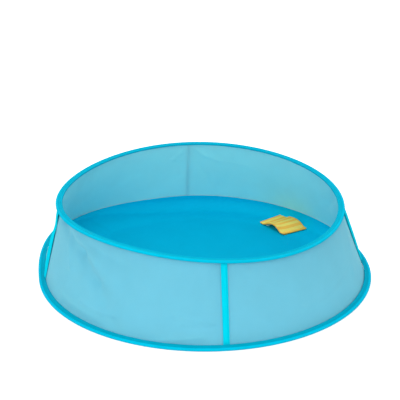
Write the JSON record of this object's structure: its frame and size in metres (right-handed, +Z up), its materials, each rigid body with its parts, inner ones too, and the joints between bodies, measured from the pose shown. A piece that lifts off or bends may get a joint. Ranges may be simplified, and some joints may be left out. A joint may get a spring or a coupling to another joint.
{
  "type": "pop-up baby bath",
  "caption": "Round pop-up cloth baby bath on two sprung wire hoops, with leaning panelled walls and a flap-covered floor drain.",
  "frame": {"origin": "middle of the underside, on the surface the bath stands on", "axes": "+Z up; -Y towards the front seam, +X towards the right seam, the drain flap between +X and +Y"},
  "size_m": [1, 1, 0.2604],
  "materials": {
    "wall_cloth": "matte coated polyester, fine plain weave",
    "band_tape": "folded woven binding tape, slight sheen",
    "floor_cloth": "smooth coated cloth, soft sheen",
    "piping": "pale sewn edge",
    "flap_cloth": "ribbed cloth with woven orange and yellow-green stripes",
    "flap_binding": "rolled hem, matte",
    "hook_and_loop": "fuzzy hook and loop tape",
    "spring_steel": "drawn spring wire",
    "stay_rod": "pultruded glass-fibre rod",
    "black_rubber": "matte moulded",
    "clear_rubber": "soft milky moulding"
  },
  "bodies": {
    "tub": {"base_band": "band_tape", "base_hoop_wire": "spring_steel", "base_hoop_ferrule": "spring_steel", "wall_front_right": "wall_cloth", "wall_back_right": "wall_cloth", "wall_back_left": "wall_cloth", "wall_front_left": "wall_cloth", "seam_tape_front": "band_tape", "seam_tape_right": "band_tape", "seam_tape_back": "band_tape", "seam_tape_left": "band_tape", "seam_stay_front": "stay_rod", "seam_stay_right": "stay_rod", "seam_stay_back": "stay_rod", "seam_stay_left": "stay_rod", "stay_tip_front_lower": "black_rubber", "stay_tip_right_lower": "black_rubber", "stay_tip_back_lower": "black_rubber", "stay_tip_left_lower": "black_rubber", "floor_cloth": "floor_cloth", "floor_piping": "piping", "drain_seat": "clear_rubber", "drain_flap_anchor": "flap_binding", "flap_loop_patch": "hook_and_loop"},
    "rim": {"rim_band": "band_tape", "rim_hoop_wire": "spring_steel", "rim_hoop_ferrule": "spring_steel", "stay_tip_front_upper": "black_rubber", "stay_tip_right_upper": "black_rubber", "stay_tip_back_upper": "black_rubber", "stay_tip_left_upper": "black_rubber"},
    "flap": {"drain_flap": "flap_cloth", "drain_flap_binding": "flap_binding", "flap_hook_patch": "hook_and_loop", "drain_stopper": "clear_rubber"}
  },
  "joints": [
    {"name": "rim_press", "type": "slide", "parent": "tub", "child": "rim", "axis": [0, 0, 1], "range_m": [-0.18, 0], "stiffness_N_per_m": 60, "springref_m": 0.15, "deforming": ["wall_front_right", "wall_back_right", "wall_back_left", "wall_front_left", "seam_tape_front", "seam_tape_right", "seam_tape_back", "seam_tape_left", "seam_stay_front", "seam_stay_right", "seam_stay_back", "seam_stay_left"]},
    {"name": "flap_hinge", "type": "hinge", "parent": "tub", "child": "flap", "pos_m": [0.27904, 0.22076, 0.0055], "axis": [0.9816, 0.1908, 0], "range_deg": [0, 150]}
  ]
}
